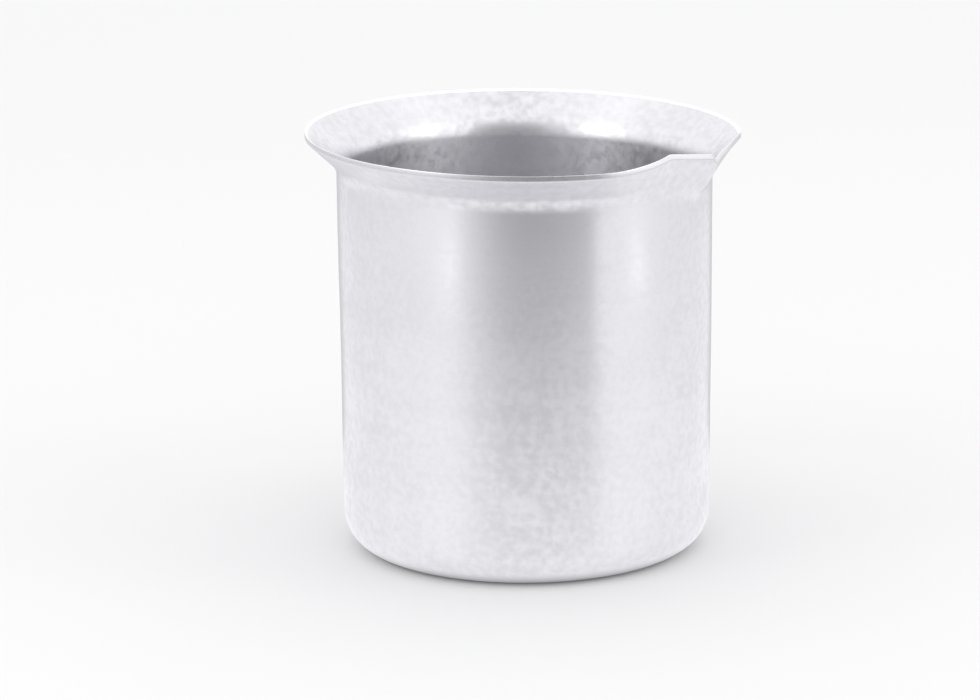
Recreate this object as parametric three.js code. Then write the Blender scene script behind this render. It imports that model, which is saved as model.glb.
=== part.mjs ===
// Candle melting pot: one round of aluminium sheet drawn into a straight-sided cup, its mouth
// spun out into a plain flared rim, with a V-shaped pouring trough pressed into that rim.
//
// Millimetres and degrees. The origin is the centre of the base, +Z is up and +X is the way the
// pot pours. Radii and heights are those of the outside of the sheet.

import * as THREE from 'three';

// The drawn cup.
const sheet = 1.4;
const wallTopRadius = 60;
const wallBottomRadius = 59.1;
const cornerRadius = 11.8;

// The flared rim: a straight slope above a rounded bend. It was trimmed straight down, so the
// inside face runs on past the outside one, by the trim's reach, measured along the slope. The
// rim sits a little askew on the cup, out and up on one side, as the spinning left it.
const rimRadius = 69.6;
const rimHeight = 133.9;
const trimReach = 1.2;
const bendHeight = 121.3;
const bendRadius = 7.5;
const rimShift = 0.4;
const rimLift = 0.9;
const liftedSide = 206;

// The pouring trough: a sharp crease that runs up from the wall to the tip, with a shoulder and
// a flat wing on each side of it. Each wing ends in a lip. The right-hand lip, seen along the
// pour, was pushed up and in. The rim rises to it in a wave, ever faster by the rise's power.
const creaseHeight = 116.6;
const foldAngle = 16;
const waveAngle = 22;
const waveRise = 1.6;
const fadeAngle = 3;
const rightLip = edgePoint(-20, 65.5, 135.8);
const rightShoulder = edgePoint(-2.8, 67.6, 132.6);
const tip = edgePoint(0, 67, 130.1);
const leftShoulder = edgePoint(2.8, 67, 131.4);
const leftLip = edgePoint(23, 69, 133.4);

// How finely the round shapes are cut into flats.
const stepsRound = 128;
const cornerSteps = 6;
const bendSteps = 4;

const pot = new THREE.Group();
pot.add(potShell());

function potShell() {
  const aluminium = new THREE.MeshStandardMaterial({
    color: 0xd4d5da,
    metalness: 1,
    roughness: 0.38,
  });
  const shell = new THREE.Mesh(sweptRound(crossSection), aluminium);
  shell.name = 'pot_shell';
  return shell;
}

// The closed outline of the sheet at one angle round the pot, from the middle of the underside,
// out and up to the cut edge, and back down the inside to the middle of the floor.
function crossSection(angle) {
  const outside = faceOfSheet(angle, 0);
  const inside = faceOfSheet(angle, sheet);
  return [...outside, ...inside.reverse()];
}

// One face of the sheet: the outside one for depth 0, and the inside one for depth `sheet`.
function faceOfSheet(angle, depth) {
  const edge = edgeAt(angle);
  const bendStart = bendStartAt(angle);
  const slope = flareSlope(edge, bendStart);
  const points = [new THREE.Vector2(0, depth)];

  const cornerCentre = new THREE.Vector2(wallBottomRadius - cornerRadius, cornerRadius);
  for (let step = 0; step <= cornerSteps; step++) {
    const turn = (step / cornerSteps) * (Math.PI / 2);
    const spoke = new THREE.Vector2(Math.sin(turn), -Math.cos(turn));
    points.push(spoke.multiplyScalar(cornerRadius - depth).add(cornerCentre));
  }

  const bendCentre = new THREE.Vector2(wallTopRadius + bendRadius, bendStart);
  for (let step = 0; step <= bendSteps; step++) {
    const turn = (step / bendSteps) * (Math.PI / 2 - slope);
    const spoke = new THREE.Vector2(-Math.cos(turn), Math.sin(turn));
    points.push(spoke.multiplyScalar(bendRadius + depth).add(bendCentre));
  }

  const alongSlope = new THREE.Vector2(Math.cos(slope), Math.sin(slope));
  const throughSheet = new THREE.Vector2(-alongSlope.y, alongSlope.x);
  const cutEdge = new THREE.Vector2(edge.radius, edge.height);
  cutEdge.addScaledVector(throughSheet, depth);
  cutEdge.addScaledVector(alongSlope, (depth / sheet) * trimReach);
  points.push(cutEdge);
  return points;
}

// The slope of the flare, in radians above level: the line from the cut edge that just touches
// the arc of the bend.
function flareSlope(edge, bendStart) {
  const across = edge.radius - wallTopRadius - bendRadius;
  const up = edge.height - bendStart;
  return Math.atan2(up, across) - Math.asin(bendRadius / Math.hypot(across, up));
}

// Where the wall starts to bend outwards. The fold dips in a V under the trough.
function bendStartAt(angle) {
  const intoTrough = Math.max(0, 1 - Math.abs(angle) / foldAngle);
  const level = bendHeight + lean(angle) * rimLift;
  return THREE.MathUtils.lerp(level, creaseHeight, intoTrough);
}

// The outside corner of the cut edge, at an angle from the trough's centre line.
function edgeAt(angle) {
  const stretches = [
    [rimPoint(rightLip.angle - waveAngle), rightLip, risingPoint],
    [rightLip, rightShoulder, chordPoint],
    [rightShoulder, tip, chordPoint],
    [tip, leftShoulder, chordPoint],
    [leftShoulder, leftLip, chordPoint],
    [leftLip, rimPoint(leftLip.angle + fadeAngle), chordPoint],
  ];
  const stretch = stretches.find(([from, to]) => angle >= from.angle && angle < to.angle);
  if (!stretch) return rimPoint(angle);
  const [from, to, join] = stretch;
  return join(from, to, angle);
}

function edgePoint(angle, radius, height) {
  return { angle, radius, height };
}

// The plain rim, away from the trough.
function rimPoint(angle) {
  const radius = rimRadius + lean(angle) * rimShift;
  const height = rimHeight + lean(angle) * rimLift;
  return edgePoint(angle, radius, height);
}

// 1 on the side where the rim stands furthest out and up, and -1 opposite it.
function lean(angle) {
  return Math.cos(THREE.MathUtils.degToRad(angle - liftedSide));
}

// A straight run of the edge between two corners, as a bent flat wing has.
function chordPoint(from, to, angle) {
  const start = onPlan(from);
  const run = onPlan(to).sub(start);
  const ray = onPlan(edgePoint(angle, 1, 0));
  const share = -start.cross(ray) / run.cross(ray);
  const radius = start.addScaledVector(run, share).length();
  return edgePoint(angle, radius, THREE.MathUtils.lerp(from.height, to.height, share));
}

// A run of the edge that leaves the first corner level and rises ever faster to the second.
function risingPoint(from, to, angle) {
  const share = THREE.MathUtils.inverseLerp(from.angle, to.angle, angle) ** waveRise;
  const radius = THREE.MathUtils.lerp(from.radius, to.radius, share);
  return edgePoint(angle, radius, THREE.MathUtils.lerp(from.height, to.height, share));
}

// A point of the edge seen from above.
function onPlan({ angle, radius }) {
  const turn = THREE.MathUtils.degToRad(angle);
  return new THREE.Vector2(radius * Math.cos(turn), radius * Math.sin(turn));
}

// The closed surface that an outline makes as it goes once round the Z axis. The outline may
// change with the angle, keeps the same number of points, and starts and ends on the axis.
function sweptRound(outlineAt) {
  const positions = [];
  const triangles = [];
  const rings = outlineAt(0).length;
  for (let step = 0; step < stepsRound; step++) {
    const degrees = (step / stepsRound) * 360;
    const angle = degrees > 180 ? degrees - 360 : degrees;
    const turn = THREE.MathUtils.degToRad(angle);
    for (const { x: radius, y: height } of outlineAt(angle))
      positions.push(radius * Math.cos(turn), radius * Math.sin(turn), height);
  }

  for (let step = 0; step < stepsRound; step++) {
    const here = step * rings;
    const next = ((step + 1) % stepsRound) * rings;
    for (let ring = 0; ring < rings - 1; ring++) {
      if (ring > 0) triangles.push(here + ring, next + ring, next + ring + 1);
      if (ring < rings - 2) triangles.push(here + ring, next + ring + 1, here + ring + 1);
    }
  }
  return closedOnAxis(positions, triangles, rings);
}

// Joins every copy of the outline's first point into one vertex, and likewise its last point.
function closedOnAxis(positions, triangles, rings) {
  const joined = triangles.map((vertex) => {
    const ring = vertex % rings;
    return ring === 0 || ring === rings - 1 ? ring : vertex;
  });
  const surface = new THREE.BufferGeometry();
  surface.setAttribute('position', new THREE.Float32BufferAttribute(positions, 3));
  surface.setIndex(joined);
  surface.computeVertexNormals();
  return surface;
}

export default pot;
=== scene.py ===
import math
from collections import namedtuple

import bmesh
import bpy
from bpy.props import FloatProperty, FloatVectorProperty, PointerProperty
from mathutils import Matrix, Vector, noise


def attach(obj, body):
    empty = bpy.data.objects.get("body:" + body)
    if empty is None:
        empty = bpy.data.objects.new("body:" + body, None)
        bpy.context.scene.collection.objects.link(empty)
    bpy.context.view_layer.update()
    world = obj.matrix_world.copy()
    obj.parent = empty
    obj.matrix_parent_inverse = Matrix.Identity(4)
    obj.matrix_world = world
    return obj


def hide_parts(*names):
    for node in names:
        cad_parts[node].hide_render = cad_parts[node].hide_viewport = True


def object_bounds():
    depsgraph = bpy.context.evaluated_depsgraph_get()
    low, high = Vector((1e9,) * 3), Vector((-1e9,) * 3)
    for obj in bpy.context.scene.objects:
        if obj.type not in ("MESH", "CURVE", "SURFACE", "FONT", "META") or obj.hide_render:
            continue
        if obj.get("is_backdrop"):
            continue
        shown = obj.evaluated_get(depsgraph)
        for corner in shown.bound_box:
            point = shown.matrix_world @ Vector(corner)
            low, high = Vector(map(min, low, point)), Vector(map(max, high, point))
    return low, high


bl_info = {
    "name": "Candle Melting Pot",
    "version": (1, 0, 0),
    "blender": (4, 5, 0),
    "location": "3D View > Sidebar > Melting Pot",
    "description": "A spun aluminium pot with a pressed pouring trough, on a plain pale floor",
    "category": "Add Mesh",
}

SHELL_NODE = "pot_shell"

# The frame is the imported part: metres, origin at the centre of the base, +Z up, +X the way the
# pot pours. Angles round the pot are measured from the middle of the trough.
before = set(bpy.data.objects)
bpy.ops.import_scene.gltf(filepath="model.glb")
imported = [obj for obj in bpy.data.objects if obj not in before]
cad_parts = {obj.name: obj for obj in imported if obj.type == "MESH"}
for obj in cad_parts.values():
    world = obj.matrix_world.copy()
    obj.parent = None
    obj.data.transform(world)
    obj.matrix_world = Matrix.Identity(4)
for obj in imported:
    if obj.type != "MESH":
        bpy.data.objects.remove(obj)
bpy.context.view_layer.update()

# A corner of the cut edge: its angle round the pot, its distance from the axis and its height.
EdgePoint = namedtuple("EdgePoint", "angle radius height")

# The trough: two flat wings that meet at a sharp tip, each ending in a lip. The right-hand lip,
# seen along the pour, was pushed up and in, and the rim rises to it in a wave.
RIGHT_LIP = EdgePoint(math.radians(-20), 0.0655, 0.1358)
RIGHT_SHOULDER = EdgePoint(math.radians(-2.8), 0.0676, 0.1326)
TIP = EdgePoint(0, 0.067, 0.1301)
LEFT_SHOULDER = EdgePoint(math.radians(2.8), 0.067, 0.1314)
LEFT_LIP = EdgePoint(math.radians(23), 0.069, 0.1334)
WAVE_ANGLE = math.radians(22)
WAVE_RISE = 1.6
FADE_ANGLE = math.radians(3)

# The radius of the wall under the flare, which is also where it mirrors the small glows.
WALL_RADIUS = 0.060

# How finely the sheet is modelled. Columns run up the pot and crowd together at the trough.
COLUMNS = 600
CROWDING = 1.4
FLOOR_RINGS = 14
CORNER_RINGS = 12
WALL_RINGS = 24
BEND_RINGS = 12
FLARE_RINGS = 9
BURR_RINGS = 3
FOLD_SAMPLES = 4

# The unevenness of the wall: waves to the metre, and how strong the close ones are beside the
# broad ones. The close ones are read from another spot of the noise.
BROAD_WAVES = 24
CLOSE_WAVES = 70
CLOSE_SHARE = 0.3
CLOSE_SPOT = Vector((3, 1, 7))

# The marks on the metal: how far the spun ones run on round the pot and how often they repeat
# across it, in metres, and how fine the others are, as a noise scale.
FINE_RUN = 0.012
FINE_PITCH = 0.0009
BAND_RUN = 0.2
BAND_PITCH = 0.004
CLOUD_SCALE = 45.0
MOTTLE_SCALE = 420.0
NICK_SCALE = 700.0

# What each kind of mark adds to the dull patches, and the sums at which the metal starts to
# look dull and is at its dullest.
CLOUD_SHARE = 0.35
BAND_SHARE = 0.15
MOTTLE_SHARE = 0.45
FINE_SHARE = 0.05
DULL_FROM = 0.34
DULL_TO = 0.66

# How the marks change the roughness. Noise mostly keeps between its low and its high value.
NOISE_LOW = 0.3
NOISE_HIGH = 0.7
MOTTLE_CHANGE = 0.03
CLEAN_CHANGE = -0.02
DULL_CHANGE = 0.04
SMOOTH_NICK_CHANGE = -0.04
ROUGH_NICK_CHANGE = 0.06

# How far a face of the cut edge has to look up to start to take the painted highlight, and to
# take it fully.
CUT_HIGHLIGHT_FROM = 0.4
CUT_HIGHLIGHT_TO = 0.85

# The gloss is drawn out across the spun marks, a quarter turn from the way they run.
QUARTER_TURN = 0.25

# The cells along each side of a flat sheet. Before it is scaled to size, it is one metre wide.
SHEET_CELLS = 8
HALF_SHEET = 0.5

# The floor's paper: how wide it is, the scale of its uneven patches, how dark they are against
# the rest, and how matt it is.
FLOOR_SIZE = 8
PAPER_SCALE = 3.0
PAPER_SHADE = 0.985
PAPER_ROUGHNESS = 0.9

# A glowing copy of the floor, seen only in the metal, paints its reflection: a painted pool of
# light centred a little behind the pot, and a painted shadow under the pot, each with the
# distances between which it changes.
POOL_BEHIND = 0.1
POOL_INNER = 0.2
POOL_OUTER = 0.75
UNDER_POT_SHADOW_INNER = 0.049
UNDER_POT_SHADOW_OUTER = 0.058
UNDER_POT_SHADOW_BRIGHTNESS = 0.2
POOL_TINT = (0.99, 0.99, 1.0)

# The glowing cards that paint reflections, seen only in the metal as bands: width and height,
# and where the middle stands, in front of the pot, to the right of it and above the floor, as the
# camera sees it.
PAINTED_REFLECTION_TINT = (0.98, 0.98, 1.0)
# The dark card paints a dark reflection band on the wall.
PAINTED_DARK_REFLECTION_SIZE = (0.34, 0.62)
PAINTED_DARK_REFLECTION_PLACE = (0.19, -0.02, 0.31)
# The grey card behind paints a reflected line down each side of the pot.
PAINTED_EDGE_REFLECTION_SIZE = (0.23, 0.11)
PAINTED_EDGE_REFLECTION_PLACE = (-0.12, 0, 0.055)
PAINTED_EDGE_REFLECTION_BRIGHTNESS = 0.72

# Where on the card of painted dark reflection each fade starts to show it and shows it fully, and
# where it turns from its darker to its paler brightness, as shares of its width and height.
LEFT_FADE = (0.02, 0.56)
TOP_FADE = (1.0, 0.42)
FOOT_FADE = (0.0, 0.16)
FOOT_SHOWN = 0.2
PALER_SIDE = (0.62, 0.9)
DARKER_BRIGHTNESS = 0.4
PALER_BRIGHTNESS = 0.5

# The small glowing cards that paint highlights, bright patches high on the wall: how far they
# stand off it, and how far round from the camera's side of it they show.
PAINTED_HIGHLIGHT_DISTANCE = 0.045
PAINTED_HIGHLIGHT_HEIGHT = 0.092
PAINTED_HIGHLIGHT_SIZE = 0.03
PAINTED_HIGHLIGHT_TINT = (1, 1, 1)
PAINTED_HIGHLIGHT_STRENGTH = 1.4
PAINTED_HIGHLIGHT_TURNS = (math.radians(-23.6), math.radians(36))

# The two soft lights: where they aim, how far off and how far up they stand, how tall they are,
# and for each, how far round from the camera it stands and how wide it is.
MOUTH = Vector((0, 0, 0.125))
LIGHT_DISTANCE = 0.7
LIGHT_ELEVATION = math.radians(29)
LIGHT_HEIGHT = 0.2
LEFT_LIGHT_TURN = math.radians(-55)
LEFT_LIGHT_WIDTH = 0.3
RIGHT_LIGHT_TURN = math.radians(73)
RIGHT_LIGHT_WIDTH = 0.26

# What the camera looks at, from the middle of the pot, its sensor's width in millimetres, and
# the nearest that it sees, in metres.
AIM_OFFSET = Vector((-0.00905, -0.00483, -0.005))
SENSOR_WIDTH = 36
NEAREST_SEEN = 0.05

# The colour sockets of the node that mixes two values: the first, the second and the result.
FIRST_COLOUR = 6
SECOND_COLOUR = 7
MIXED_COLOUR = 2


# ---------------------------------------------------------------------------------------------
# Sizes, colours and light that a user would change
# ---------------------------------------------------------------------------------------------

# Short forms of the properties, one for each kind of value.


def length(name, default, description):
    return FloatProperty(name=name, description=description, default=default, unit="LENGTH",
                         precision=5)


def angle(name, degrees, description):
    return FloatProperty(name=name, description=description, default=math.radians(degrees),
                         subtype="ANGLE")


def share(name, default, description):
    return FloatProperty(name=name, description=description, default=default, min=0, max=1,
                         subtype="FACTOR")


def colour(name, default, description):
    return FloatVectorProperty(name=name, description=description, default=default, size=3,
                               min=0, max=1, subtype="COLOR")


def brightness(name, default, description):
    return FloatProperty(name=name, description=description, default=default, min=0)


def power(name, default, description):
    return FloatProperty(name=name, description=description, default=default, min=0,
                         subtype="POWER")


class PotSizes(bpy.types.PropertyGroup):
    """Sizes of the pot, on the outside of the sheet"""

    sheet: length("Sheet", 0.0014, "Thickness of the aluminium sheet")
    wall_top_radius: length("Upper wall radius", WALL_RADIUS, "Radius of the wall under the flare")
    wall_bottom_radius: length("Lower wall radius", 0.0591, "Radius above the rounded corner")
    corner_radius: length("Corner radius", 0.0118, "Radius of the rounded corner round the base")
    rim_radius: length("Rim radius", 0.0696, "Radius of the flared rim")
    rim_height: length("Rim height", 0.1339, "Height of the cut edge of the rim")
    rim_shift: length("Rim shift", 0.0004, "How far the rim sits off centre")
    rim_lift: length("Rim lift", 0.0009, "How far the rim rises on its lifted side")
    lifted_side: angle("Lifted side", 206, "Where round the pot the rim stands highest")
    trim_reach: length("Trim reach", 0.0012, "How far the inside face runs past the outside one")
    burr: length("Burr", 0.00035, "Size of the rounding that filing left on the cut edge")
    bend_height: length("Bend height", 0.1213, "Height at which the wall turns out to the flare")
    bend_radius: length("Bend radius", 0.0075, "Radius of the bend under the flare")
    crease_height: length("Crease height", 0.1166, "Height of the foot of the trough's crease")
    fold_angle: angle("Fold", 16, "Half angle over which the bend dips under the trough")
    crease_rounding: angle("Crease rounding", 1.2, "Half angle over which the folds are rounded")
    belly: length("Crease belly", 0.0008, "How far the foot of the crease bulges out")
    belly_angle: angle("Belly", 7, "Half angle over which the crease bulges")
    base_dish: length("Base dish", 0.0003, "How far the middle of the base is pressed up")
    unevenness: length("Unevenness", 0.00016, "How far the wall wanders from a true round")


class MetalFinish(bpy.types.PropertyGroup):
    """Colour and surface of the spun aluminium"""

    pale: colour("Pale metal", (0.71, 0.708, 0.735), "Colour of clean metal")
    cut: colour("Cut metal", (0.63, 0.63, 0.652), "Colour of the cut edge")
    # This paler colour is a painted highlight on the faces of the cut edge that look up.
    bright: colour("Worn metal", (0.88, 0.88, 0.9), "Colour where wear has burnished the cut edge")
    dull: colour("Dull metal", (0.645, 0.643, 0.67), "Colour where the metal is dull with oxide")
    roughness: share("Roughness", 0.33, "Mean roughness of the wall")
    stretch: share("Stretched gloss", 0.8, "How far the gloss is drawn out across the marks")
    cut_roughness: share("Cut edge roughness", 0.3, "Roughness of the trimmed edge of the rim")
    groove_depth: length("Groove depth", 0.000001, "Depth of the fine spinning marks")
    ripple_depth: length("Ripple depth", 0.000012, "Depth of the broad ripples left by the roller")


class StageLight(bpy.types.PropertyGroup):
    """Floor, lights and camera"""

    floor_colour: colour("Floor", (0.67, 0.67, 0.675), "Colour of the floor")
    # Brightness of the painted pool of light that only the metal mirrors, near the pot and far off.
    painted_pool_near: brightness("Floor near", 1.19, "Mirrored brightness of the floor near the pot")
    painted_pool_far: brightness("Floor far", 0.92, "Mirrored brightness of the floor far off")
    surround: brightness("Surround", 1.45, "Brightness level with the pot, at its sides")
    overhead: brightness("Overhead", 1.38, "Brightness straight overhead")
    backdrop: FloatProperty(name="Backdrop", default=-0.2, min=-1,
                            description="How much brighter it is behind the pot than at its sides")
    left_power: power("Left light", 0.36, "Power of the soft light at the front left")
    right_power: power("Right light", 0.34, "Power of the soft light at the right")
    camera_azimuth: angle("Camera azimuth", 26, "Camera's place round the pot, from the -Y side")
    camera_elevation: angle("Camera elevation", 14.118, "Camera's height above the horizon")
    camera_roll: angle("Camera roll", -0.55, "How far the camera leans to one side")
    camera_distance: length("Camera distance", 1.68, "From the camera to the point it looks at")
    camera_lens: FloatProperty(name="Lens", default=191.7, min=1, subtype="DISTANCE_CAMERA",
                               description=f"Focal length on a sensor {SENSOR_WIDTH} mm wide")


# ---------------------------------------------------------------------------------------------
# The shape of the sheet
# ---------------------------------------------------------------------------------------------


def lerp(start, end, part):
    """The number a part of the way from one to another."""
    return start + (end - start) * part


def on_plan(point):
    """A point of the edge seen from above."""
    return Vector((math.cos(point.angle), math.sin(point.angle))) * point.radius


def chord_point(start, end, at):
    """A straight run of the edge between two corners, as a bent flat wing has."""
    first = on_plan(start)
    run = on_plan(end) - first
    ray = Vector((math.cos(at), math.sin(at)))
    part = -first.cross(ray) / run.cross(ray)
    return (first + run * part).length, lerp(start.height, end.height, part)


def rising_point(start, end, at):
    """A run of the edge that leaves its start level and rises ever faster to its end."""
    part = ((at - start.angle) / (end.angle - start.angle)) ** WAVE_RISE
    return lerp(start.radius, end.radius, part), lerp(start.height, end.height, part)


def lean(sizes, at):
    """1 on the side where the rim stands furthest out and up, and -1 opposite it."""
    return math.cos(at - sizes.lifted_side)


def rim_point(sizes, at):
    """The plain rim, away from the trough."""
    leaning = lean(sizes, at)
    radius = sizes.rim_radius + leaning * sizes.rim_shift
    return EdgePoint(at, radius, sizes.rim_height + leaning * sizes.rim_lift)


def edge_at(sizes, at):
    """Radius and height of the outside corner of the cut edge, with sharp corners."""
    wave_start = rim_point(sizes, RIGHT_LIP.angle - WAVE_ANGLE)
    fade_end = rim_point(sizes, LEFT_LIP.angle + FADE_ANGLE)
    if wave_start.angle <= at < RIGHT_LIP.angle:
        return rising_point(wave_start, RIGHT_LIP, at)
    corners = [RIGHT_LIP, RIGHT_SHOULDER, TIP, LEFT_SHOULDER, LEFT_LIP, fade_end]
    for start, end in zip(corners, corners[1:]):
        if start.angle <= at < end.angle:
            return chord_point(start, end, at)
    plain = rim_point(sizes, at)
    return plain.radius, plain.height


def bend_start_at(sizes, at):
    """Where the wall starts to bend outwards. The fold dips in a V under the trough."""
    into_trough = max(0, 1 - abs(at) / sizes.fold_angle)
    level = sizes.bend_height + lean(sizes, at) * sizes.rim_lift
    return lerp(level, sizes.crease_height, into_trough)


def rounded_section(sizes, at):
    """Edge radius, edge height and bend start at an angle, with the folds rounded off."""
    total = Vector((0, 0, 0))
    weights = 0
    for step in range(-FOLD_SAMPLES, FOLD_SAMPLES + 1):
        weight = FOLD_SAMPLES + 1 - abs(step)
        near = at + step / FOLD_SAMPLES * sizes.crease_rounding
        total += weight * Vector((*edge_at(sizes, near), bend_start_at(sizes, near)))
        weights += weight
    return total / weights


def corner_middle(sizes):
    """The middle of the arc of the rounded corner, as a radius and a height."""
    return Vector((sizes.wall_bottom_radius - sizes.corner_radius, sizes.corner_radius))


def base_points(sizes, depth):
    """The dished base and the rounded corner round it."""
    middle = corner_middle(sizes)
    points = []
    for ring in range(FLOOR_RINGS):
        out = ring / FLOOR_RINGS
        dish = sizes.base_dish * math.cos(out * math.pi / 2) ** 2
        points.append(Vector((middle.x * out, depth + dish)))
    for ring in range(CORNER_RINGS):
        turn = ring / CORNER_RINGS * math.pi / 2
        spoke = Vector((math.sin(turn), -math.cos(turn)))
        points.append(middle + spoke * (sizes.corner_radius - depth))
    return points


def wall_points(sizes, bend_middle, slope, depth):
    """The straight wall and the bend above it, as far as the foot of the flare."""
    foot = corner_middle(sizes) + Vector((sizes.corner_radius - depth, 0))
    head = bend_middle - Vector((sizes.bend_radius + depth, 0))
    points = []
    for ring in range(WALL_RINGS):
        points.append(foot.lerp(head, ring / WALL_RINGS))
    for ring in range(BEND_RINGS):
        turn = ring / BEND_RINGS * (math.pi / 2 - slope)
        spoke = Vector((-math.cos(turn), math.sin(turn)))
        points.append(bend_middle + spoke * (sizes.bend_radius + depth))
    return points


def flare_points(sizes, at, edge, bend_middle, slope, depth):
    """The flare, from the bend to the cut edge. Round the crease it bulges outwards."""
    along = Vector((math.cos(slope), math.sin(slope)))
    through = Vector((-along.y, along.x))
    foot = bend_middle + through * (sizes.bend_radius + depth)
    cut_edge = edge + through * depth
    cut_edge += along * depth / sizes.sheet * sizes.trim_reach
    bulge = sizes.belly * max(0, 1 - abs(at) / sizes.belly_angle)
    points = []
    for ring in range(FLARE_RINGS + 1):
        part = ring / FLARE_RINGS
        outwards = through * bulge * math.sin(part * math.pi)
        points.append(foot.lerp(cut_edge, part) - outwards)
    return points


def face_of_sheet(sizes, at, section, depth):
    """Radius and height of each ring on one face of the sheet, from the axis out to the edge."""
    edge_radius, edge_height, bend_start = section
    edge = Vector((edge_radius, edge_height))
    bend_middle = Vector((sizes.wall_top_radius + sizes.bend_radius, bend_start))
    to_edge = edge - bend_middle
    slope = math.atan2(to_edge.y, to_edge.x) - math.asin(sizes.bend_radius / to_edge.length)
    base = base_points(sizes, depth)
    wall = wall_points(sizes, bend_middle, slope, depth)
    flare = flare_points(sizes, at, edge, bend_middle, slope, depth)
    return base + wall + flare


def filed_corner(before, corner, after, size):
    """A corner of the cut edge, rounded by a curve that starts and ends a small way from it."""
    start = corner + (before - corner).normalized() * size
    end = corner + (after - corner).normalized() * size
    curve = []
    for step in range(BURR_RINGS + 1):
        part = step / BURR_RINGS
        curve.append(start.lerp(corner, part).lerp(corner.lerp(end, part), part))
    return curve


def cross_section(sizes, at):
    """The closed outline of the sheet, from the middle of the underside round to the floor."""
    section = rounded_section(sizes, at)
    outside = face_of_sheet(sizes, at, section, 0)
    inside = face_of_sheet(sizes, at, section, sizes.sheet)
    lower = filed_corner(outside[-2], outside[-1], inside[-1], sizes.burr)
    upper = filed_corner(outside[-1], inside[-1], inside[-2], sizes.burr)
    return outside[:-1] + lower + upper + inside[-2::-1]


def wander(sizes, place):
    """How far a hand-spun wall stands out from a true round at a place."""
    broad = noise.noise(place * BROAD_WAVES)
    close = noise.noise(place * CLOSE_WAVES + CLOSE_SPOT)
    return sizes.unevenness * (broad + CLOSE_SHARE * close)


def columns_round():
    """The angles of the columns, from the back of the pot round to the back again."""
    half = COLUMNS // 2
    for step in range(-half, half):
        part = step / half
        yield math.copysign(abs(part) ** CROWDING, part) * math.pi


def ring_places(sizes, at):
    """Where a column meets each ring, from the middle of the underside round to the floor's."""
    places = []
    for radius, height in cross_section(sizes, at):
        place = Vector((radius * math.cos(at), radius * math.sin(at), height))
        if radius > sizes.corner_radius:
            place.xy *= 1 + wander(sizes, place) / radius
        places.append(place)
    return places


def cut_edge_strips(rings):
    """Which strips between rings are filed: the cut edge, and the first strip inside it."""
    middle = rings // 2
    return range(middle - BURR_RINGS - 1, middle + BURR_RINGS + 1)


def join_columns(shell, columns, underside, floor):
    """Faces between each column and the next, closed at the middle of the base."""
    filed = cut_edge_strips(len(columns[0]))
    for here, following in zip(columns, columns[1:] + columns[:1]):
        shell.faces.new((underside, following[0], here[0]))
        shell.faces.new((floor, here[-1], following[-1]))
        for strip in range(len(here) - 1):
            above = strip + 1
            corners = (here[strip], following[strip], following[above], here[above])
            shell.faces.new(corners).material_index = int(strip in filed)
    for face in shell.faces:
        face.smooth = True


def sheet_mesh(sizes):
    """The whole shell as one closed mesh of rings and columns."""
    shell = bmesh.new()
    columns = []
    for at in columns_round():
        underside_place, *places, floor_place = ring_places(sizes, at)
        columns.append([shell.verts.new(place) for place in places])
    underside = shell.verts.new(underside_place)
    floor = shell.verts.new(floor_place)
    join_columns(shell, columns, underside, floor)
    mesh = bpy.data.meshes.new("pot_shell_sheet")
    shell.to_mesh(mesh)
    shell.free()
    return mesh


# ---------------------------------------------------------------------------------------------
# The metal
# ---------------------------------------------------------------------------------------------


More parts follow.
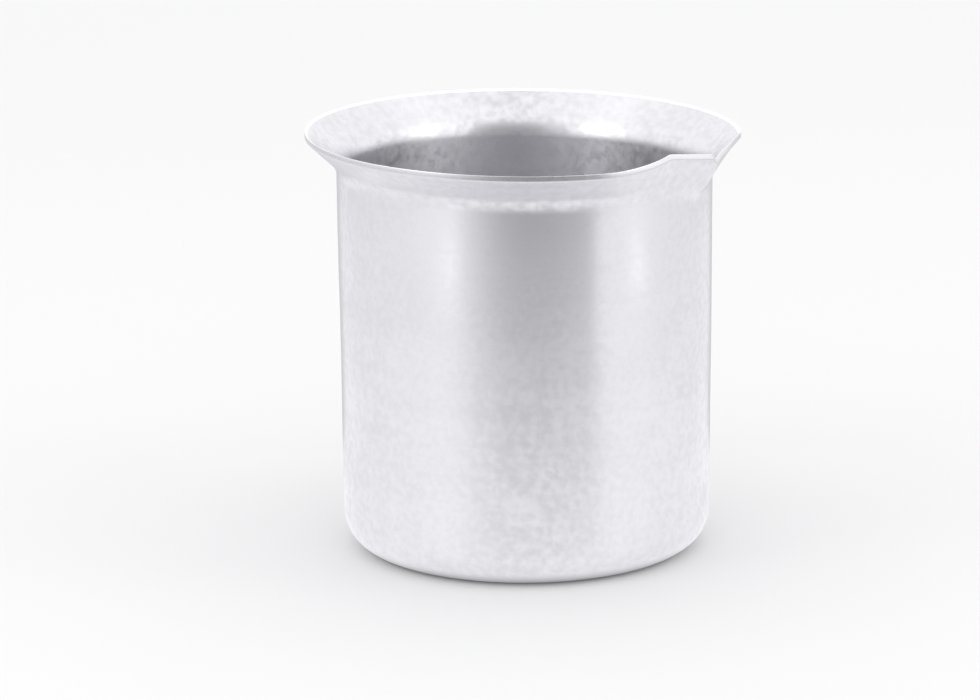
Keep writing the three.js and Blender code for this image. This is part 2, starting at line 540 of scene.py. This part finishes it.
class NodeBench:
    """Adds nodes to a material and joins them up."""

    def __init__(self, name):
        self.material = bpy.data.materials.new(name)
        self.material.use_nodes = True
        self.tree = self.material.node_tree
        self.tree.nodes.clear()

    def add(self, kind, settings=None, **inputs):
        """A node with its settings and inputs. Underscores in input names stand for spaces."""
        node = self.tree.nodes.new(kind)
        for key, value in (settings or {}).items():
            setattr(node, key, value)
        for key, value in inputs.items():
            self.put(node.inputs[key.replace("_", " ")], value)
        return node

    def put(self, socket, value):
        """Links the value to the socket if it comes from a node, and sets it there if not."""
        if isinstance(value, bpy.types.NodeSocket):
            self.tree.links.new(value, socket)
        else:
            socket.default_value = value

    def math(self, operation, *values):
        """One sum on numbers."""
        node = self.add("ShaderNodeMath", {"operation": operation})
        for socket, value in zip(node.inputs, values):
            self.put(socket, value)
        return node.outputs[0]

    def noise(self, place, scale, detail=2.0, roughness=0.5):
        """Cloudy noise, from about 0 to about 1."""
        node = self.add("ShaderNodeTexNoise", Vector=place, Scale=scale, Detail=detail,
                        Roughness=roughness)
        return node.outputs["Fac"]

    def ramp(self, value, low, high, low_out=0.0, high_out=1.0):
        """A smooth change from one result to another as the value goes from low to high."""
        node = self.add("ShaderNodeMapRange", {"interpolation_type": "SMOOTHSTEP"}, Value=value,
                        From_Min=low, From_Max=high, To_Min=low_out, To_Max=high_out)
        return node.outputs["Result"]

    def blend(self, amount, low, high):
        """A colour between two others."""
        node = self.add("ShaderNodeMix", {"data_type": "RGBA"})
        self.put(node.inputs["Factor"], amount)
        self.put(node.inputs[FIRST_COLOUR], low)
        self.put(node.inputs[SECOND_COLOUR], high)
        return node.outputs[MIXED_COLOUR]

    def bump(self, height, distance, normal=None):
        """Fine relief in the shading, on top of any that is there already."""
        node = self.add("ShaderNodeBump", Height=height, Distance=distance, Strength=1.0)
        if normal is not None:
            self.put(node.inputs["Normal"], normal)
        return node.outputs["Normal"]

    def mixed(self, first, first_share, second, second_share):
        """Two values added, each taken by its share."""
        return self.math("ADD", self.math("MULTIPLY", first, first_share),
                         self.math("MULTIPLY", second, second_share))

    def finish(self, **inputs):
        """Ends the material as a solid surface."""
        shader = self.add("ShaderNodeBsdfPrincipled", **inputs)
        self.add("ShaderNodeOutputMaterial", Surface=shader.outputs[0])
        return self.material

    def finish_glowing(self, tint, strength, shown=None):
        """Ends the material as an even glow, and a clear one where `shown` is given and low."""
        glow = self.add("ShaderNodeEmission", Color=(*tint, 1), Strength=strength)
        surface = glow.outputs[0]
        if shown is not None:
            clear = self.add("ShaderNodeBsdfTransparent")
            mix = self.add("ShaderNodeMixShader", Fac=shown)
            self.put(mix.inputs[1], clear.outputs[0])
            self.put(mix.inputs[2], surface)
            surface = mix.outputs[0]
        self.add("ShaderNodeOutputMaterial", Surface=surface)
        return self.material


def spun_noise(bench, place, run, pitch, detail):
    """Noise for marks that run on round the pot for `run` and repeat every `pitch` across it."""
    east, north, height = bench.add("ShaderNodeSeparateXYZ", Vector=place).outputs
    radius = bench.math("SQRT", bench.math("ADD", bench.math("MULTIPLY", east, east),
                                           bench.math("MULTIPLY", north, north)))
    along_profile = bench.math("ADD", radius, height)
    squeezed = bench.add("ShaderNodeCombineXYZ",
                         X=bench.math("MULTIPLY", east, 1 / run),
                         Y=bench.math("MULTIPLY", north, 1 / run),
                         Z=bench.math("MULTIPLY", along_profile, 1 / pitch))
    return bench.noise(squeezed.outputs[0], 1.0, detail)


def spun_aluminium(finish):
    """Satin aluminium: fine spinning marks, broad roller ripples and dull patches."""
    bench = NodeBench("spun_aluminium")
    place = bench.add("ShaderNodeTexCoord").outputs["Object"]
    fine = spun_noise(bench, place, FINE_RUN, FINE_PITCH, detail=1.0)
    bands = spun_noise(bench, place, BAND_RUN, BAND_PITCH, detail=2.0)
    clouds = bench.noise(place, CLOUD_SCALE, detail=4.0, roughness=0.6)
    mottle = bench.noise(place, MOTTLE_SCALE)

    broad = bench.mixed(clouds, CLOUD_SHARE, bands, BAND_SHARE)
    small = bench.mixed(mottle, MOTTLE_SHARE, fine, FINE_SHARE)
    dullness = bench.ramp(bench.math("ADD", broad, small), DULL_FROM, DULL_TO)
    tone = bench.blend(dullness, (*finish.pale, 1), (*finish.dull, 1))

    mottled = bench.ramp(mottle, NOISE_LOW, NOISE_HIGH,
                         finish.roughness - MOTTLE_CHANGE, finish.roughness + MOTTLE_CHANGE)
    dulled = bench.ramp(dullness, 0.0, 1.0, CLEAN_CHANGE, DULL_CHANGE)
    rough = bench.math("ADD", mottled, dulled)

    rippled = bench.bump(bands, finish.ripple_depth)
    grooved = bench.bump(fine, finish.groove_depth, rippled)
    round_axis = bench.add("ShaderNodeTangent", {"direction_type": "RADIAL", "axis": "Z"})
    return bench.finish(Base_Color=tone, Metallic=1.0, Roughness=rough, Normal=grooved,
                        Anisotropic=finish.stretch, Anisotropic_Rotation=QUARTER_TURN,
                        Tangent=round_axis.outputs[0])


def trimmed_aluminium(finish):
    """Trimmed edge of the rim: painted highlight where it faces up, small nicks from the file."""
    bench = NodeBench("trimmed_aluminium")
    place = bench.add("ShaderNodeTexCoord").outputs["Object"]
    nicks = bench.noise(place, NICK_SCALE, detail=3.0, roughness=0.6)
    faces = bench.add("ShaderNodeNewGeometry").outputs["Normal"]
    upwards = bench.add("ShaderNodeSeparateXYZ", Vector=faces).outputs["Z"]
    # Painted highlight: faces of the cut edge that look up take the paler colour.
    painted_highlight = bench.ramp(upwards, CUT_HIGHLIGHT_FROM, CUT_HIGHLIGHT_TO)
    tone = bench.blend(painted_highlight, (*finish.cut, 1), (*finish.bright, 1))
    rough = bench.ramp(nicks, NOISE_LOW, NOISE_HIGH,
                       finish.cut_roughness + SMOOTH_NICK_CHANGE,
                       finish.cut_roughness + ROUGH_NICK_CHANGE)
    nicked = bench.bump(nicks, finish.groove_depth)
    return bench.finish(Base_Color=tone, Metallic=1.0, Roughness=rough, Normal=nicked)


# ---------------------------------------------------------------------------------------------
# Floor, lights and camera
# ---------------------------------------------------------------------------------------------


def direction(azimuth, elevation):
    """The unit vector from the pot to something at an azimuth and elevation, as for a camera."""
    level = math.cos(elevation)
    return Vector((math.sin(azimuth) * level, -math.cos(azimuth) * level, math.sin(elevation)))


def aimed(along):
    """A turn that points an object's -Z axis along a direction."""
    return along.to_track_quat("-Z", "Y").to_matrix().to_4x4()


def rightwards(azimuth):
    """The level direction to the right, as seen from an azimuth."""
    return Vector((math.cos(azimuth), math.sin(azimuth), 0))


def upright(azimuth):
    """A turn that stands a flat sheet up, square to the camera."""
    across = rightwards(azimuth)
    up = Vector((0, 0, 1))
    return Matrix((across, up, across.cross(up))).transposed().to_4x4()


def floor_finish(tint):
    """Matt pale paper with the least unevenness of tone."""
    bench = NodeBench("pale_floor")
    place = bench.add("ShaderNodeTexCoord").outputs["Object"]
    cloud = bench.noise(place, PAPER_SCALE)
    shade = tuple(channel * PAPER_SHADE for channel in tint)
    tone = bench.blend(cloud, (*shade, 1), (*tint, 1))
    return bench.finish(Base_Color=tone, Roughness=PAPER_ROUGHNESS)


def painted_floor_light_finish(settings):
    """Painted pool of light for the metal to mirror: painted shadow under the pot, dim far off."""
    bench = NodeBench("painted_floor_light")
    place = bench.add("ShaderNodeTexCoord").outputs["Object"]
    from_pot = bench.add("ShaderNodeVectorMath", {"operation": "LENGTH"}, Vector=place)
    from_pool = bench.add("ShaderNodeVectorMath", {"operation": "DISTANCE"}, Vector=place)
    bench.put(from_pool.inputs[1], direction(settings.camera_azimuth, 0) * -POOL_BEHIND)
    pool = bench.ramp(from_pool.outputs["Value"], POOL_INNER, POOL_OUTER,
                      settings.painted_pool_near, settings.painted_pool_far)
    # Painted shadow: the mirrored floor goes dim under the pot.
    foot = bench.ramp(from_pot.outputs["Value"], UNDER_POT_SHADOW_INNER, UNDER_POT_SHADOW_OUTER, UNDER_POT_SHADOW_BRIGHTNESS, 1.0)
    return bench.finish_glowing(POOL_TINT, bench.math("MULTIPLY", pool, foot))


def painted_dark_reflection_finish():
    """Painted dark reflection: a card that fades to the left, top and foot, so that it is soft."""
    bench = NodeBench("painted_dark_reflection")
    place = bench.add("ShaderNodeTexCoord").outputs["Generated"]
    along, up, _ = bench.add("ShaderNodeSeparateXYZ", Vector=place).outputs
    brightness_along = bench.ramp(along, *PALER_SIDE, DARKER_BRIGHTNESS, PALER_BRIGHTNESS)
    shown_along = bench.ramp(along, *LEFT_FADE)
    shown_above = bench.ramp(up, *TOP_FADE)
    shown_below = bench.ramp(up, *FOOT_FADE, FOOT_SHOWN, 1.0)
    shown = bench.math("MULTIPLY", bench.math("MULTIPLY", shown_along, shown_above), shown_below)
    return bench.finish_glowing(PAINTED_REFLECTION_TINT, brightness_along, shown)


def painted_edge_reflection_finish():
    """Painted reflection: grey card behind the pot, seen as a thin line down each side of it."""
    return NodeBench("painted_edge_reflection").finish_glowing(PAINTED_REFLECTION_TINT, PAINTED_EDGE_REFLECTION_BRIGHTNESS)


def painted_highlight_finish():
    """Painted highlight: a small glow that fades from its middle to nothing at its sides."""
    bench = NodeBench("glow")
    place = bench.add("ShaderNodeTexCoord").outputs["Object"]
    out = bench.add("ShaderNodeVectorMath", {"operation": "LENGTH"}, Vector=place)
    shown = bench.ramp(out.outputs["Value"], PAINTED_HIGHLIGHT_SIZE / 2, 0)
    return bench.finish_glowing(PAINTED_HIGHLIGHT_TINT, PAINTED_HIGHLIGHT_STRENGTH, shown)


def plain_sheet(name, width, depth, material):
    """A flat sheet that lies in its own XY plane."""
    sheet = bmesh.new()
    bmesh.ops.create_grid(sheet, x_segments=SHEET_CELLS, y_segments=SHEET_CELLS, size=HALF_SHEET)
    bmesh.ops.scale(sheet, vec=(width, depth, 1), verts=sheet.verts)
    mesh = bpy.data.meshes.new(name)
    sheet.to_mesh(mesh)
    sheet.free()
    mesh.materials.append(material)
    piece = bpy.data.objects.new(name, mesh)
    bpy.context.scene.collection.objects.link(piece)
    piece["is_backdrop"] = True
    return piece


def gloss_sheet(name, width, depth, material):
    """A sheet seen only in the metal, as a painted reflection, not in the picture or on the floor.
    """
    piece = plain_sheet(name, width, depth, material)
    piece.visible_camera = False
    piece.visible_diffuse = False
    piece.visible_shadow = False
    piece.visible_transmission = False
    return piece


def add_floor(settings):
    """The pale floor, and a glowing copy of it with painted light and shade, for the metal only."""
    paper = plain_sheet("floor", FLOOR_SIZE, FLOOR_SIZE, floor_finish(settings.floor_colour))
    paper.visible_glossy = False
    gloss_sheet("floor_in_gloss", FLOOR_SIZE, FLOOR_SIZE, painted_floor_light_finish(settings))


def add_card(name, size, place, material, azimuth):
    """An upright card, square to the camera's line of sight."""
    card = gloss_sheet(name, *size, material)
    in_front, to_the_right, height = place
    middle = direction(azimuth, 0) * in_front + rightwards(azimuth) * to_the_right
    middle.z = height
    card.matrix_world = Matrix.Translation(middle) @ upright(azimuth)


def add_painted_highlight(azimuth, turn):
    """Painted highlight: small glow the wall mirrors to the camera, a turn from its near side."""
    card = gloss_sheet("painted_highlight_card", PAINTED_HIGHLIGHT_SIZE, PAINTED_HIGHLIGHT_SIZE, painted_highlight_finish())
    on_wall = direction(azimuth + turn, 0) * WALL_RADIUS
    middle = on_wall + direction(azimuth + 2 * turn, 0) * PAINTED_HIGHLIGHT_DISTANCE
    middle.z = PAINTED_HIGHLIGHT_HEIGHT
    swing = Matrix.Rotation(2 * turn, 4, "Z")
    card.matrix_world = Matrix.Translation(middle) @ swing @ upright(azimuth)


def add_cards(azimuth):
    """The painted reflections and highlights that show as a band or a patch in the metal."""
    add_card("painted_dark_reflection", PAINTED_DARK_REFLECTION_SIZE, PAINTED_DARK_REFLECTION_PLACE, painted_dark_reflection_finish(), azimuth)
    add_card("painted_edge_reflection", PAINTED_EDGE_REFLECTION_SIZE, PAINTED_EDGE_REFLECTION_PLACE, painted_edge_reflection_finish(), azimuth)
    for turn in PAINTED_HIGHLIGHT_TURNS:
        add_painted_highlight(azimuth, turn)


def add_soft_light(name, azimuth, width, watts):
    """A wide soft light that stands above the rim's level and faces the mouth."""
    lamp = bpy.data.lights.new(name, "AREA")
    lamp.shape = "RECTANGLE"
    lamp.size = width
    lamp.size_y = LIGHT_HEIGHT
    lamp.energy = watts
    piece = bpy.data.objects.new(name, lamp)
    place = MOUTH + direction(azimuth, LIGHT_ELEVATION) * LIGHT_DISTANCE
    piece.matrix_world = Matrix.Translation(place) @ aimed(MOUTH - place)
    piece.visible_camera = False
    bpy.context.scene.collection.objects.link(piece)


def add_lights(settings):
    """The two soft lights, at the front left and at the right."""
    azimuth = settings.camera_azimuth
    add_soft_light("left_light", azimuth + LEFT_LIGHT_TURN, LEFT_LIGHT_WIDTH,
                   settings.left_power)
    add_soft_light("right_light", azimuth + RIGHT_LIGHT_TURN, RIGHT_LIGHT_WIDTH,
                   settings.right_power)


def add_camera(settings):
    """The camera, aimed a little off the middle of the pot."""
    low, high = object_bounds()
    middle = Vector((low.x + high.x, low.y + high.y, low.z + high.z)) / 2
    back = direction(settings.camera_azimuth, settings.camera_elevation)
    place = middle + AIM_OFFSET + back * settings.camera_distance
    lens = bpy.data.cameras.new("camera")
    lens.sensor_width = SENSOR_WIDTH
    lens.sensor_fit = "HORIZONTAL"
    lens.lens = settings.camera_lens
    lens.clip_start = NEAREST_SEEN
    piece = bpy.data.objects.new("camera", lens)
    roll = Matrix.Rotation(settings.camera_roll, 4, "Z")
    piece.matrix_world = Matrix.Translation(place) @ aimed(-back) @ roll
    bpy.context.scene.collection.objects.link(piece)
    bpy.context.scene.camera = piece


def add_surround(settings):
    """White all round, as in a light tent, changing evenly from front to back and upwards."""
    world = bpy.data.worlds.new("light_tent")
    world.use_nodes = True
    tree = world.node_tree
    gradient = direction(settings.camera_azimuth, 0) * -settings.backdrop
    gradient.z = settings.overhead - settings.surround
    rise = tree.nodes.new("ShaderNodeVectorMath")
    rise.operation = "DOT_PRODUCT"
    rise.inputs[1].default_value = gradient
    total = tree.nodes.new("ShaderNodeMath")
    total.operation = "ADD"
    total.inputs[1].default_value = settings.surround
    sky = tree.nodes.new("ShaderNodeTexCoord").outputs["Generated"]
    background = tree.nodes["Background"]
    tree.links.new(sky, rise.inputs[0])
    tree.links.new(rise.outputs["Value"], total.inputs[0])
    tree.links.new(total.outputs[0], background.inputs["Strength"])
    background.inputs["Color"].default_value = (1, 1, 1, 1)
    bpy.context.scene.world = world
    bpy.context.scene.view_settings.view_transform = "Standard"


# ---------------------------------------------------------------------------------------------
# Operators and panel
# ---------------------------------------------------------------------------------------------


class MELTINGPOT_OT_shell(bpy.types.Operator):
    """Make the pot's sheet, from the base to the flared rim and its pouring trough"""

    bl_idname = "melting_pot.shell"
    bl_label = "Make the pot"

    def execute(self, context):
        sizes = context.scene.pot_sizes
        finish = context.scene.pot_finish
        mesh = sheet_mesh(sizes)
        mesh.materials.append(spun_aluminium(finish))
        mesh.materials.append(trimmed_aluminium(finish))
        shell = bpy.data.objects.new("spun_pot", mesh)
        context.scene.collection.objects.link(shell)
        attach(shell, "root")
        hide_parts(SHELL_NODE)
        return {"FINISHED"}


class MELTINGPOT_OT_stage(bpy.types.Operator):
    """Set out the pale floor, the soft lights and the camera"""

    bl_idname = "melting_pot.stage"
    bl_label = "Set the stage"

    def execute(self, context):
        settings = context.scene.pot_stage
        add_surround(settings)
        add_floor(settings)
        add_cards(settings.camera_azimuth)
        add_lights(settings)
        add_camera(settings)
        return {"FINISHED"}


class MELTINGPOT_PT_panel(bpy.types.Panel):
    """Sizes, finish and stage of the melting pot"""

    bl_idname = "MELTINGPOT_PT_panel"
    bl_label = "Melting Pot"
    bl_space_type = "VIEW_3D"
    bl_region_type = "UI"
    bl_category = "Melting Pot"

    def draw(self, context):
        groups = (context.scene.pot_sizes, context.scene.pot_finish, context.scene.pot_stage)
        for group in groups:
            box = self.layout.box()
            for name in group.__annotations__:
                box.prop(group, name)
        self.layout.operator(MELTINGPOT_OT_shell.bl_idname)
        self.layout.operator(MELTINGPOT_OT_stage.bl_idname)


CLASSES = (PotSizes, MetalFinish, StageLight, MELTINGPOT_OT_shell, MELTINGPOT_OT_stage,
           MELTINGPOT_PT_panel)


def register():
    for made in CLASSES:
        bpy.utils.register_class(made)
    bpy.types.Scene.pot_sizes = PointerProperty(type=PotSizes)
    bpy.types.Scene.pot_finish = PointerProperty(type=MetalFinish)
    bpy.types.Scene.pot_stage = PointerProperty(type=StageLight)


def unregister():
    del bpy.types.Scene.pot_stage
    del bpy.types.Scene.pot_finish
    del bpy.types.Scene.pot_sizes
    for made in reversed(CLASSES):
        bpy.utils.unregister_class(made)


def main():
    register()
    bpy.ops.melting_pot.shell()
    bpy.ops.melting_pot.stage()


if __name__ == "__main__":
    main()
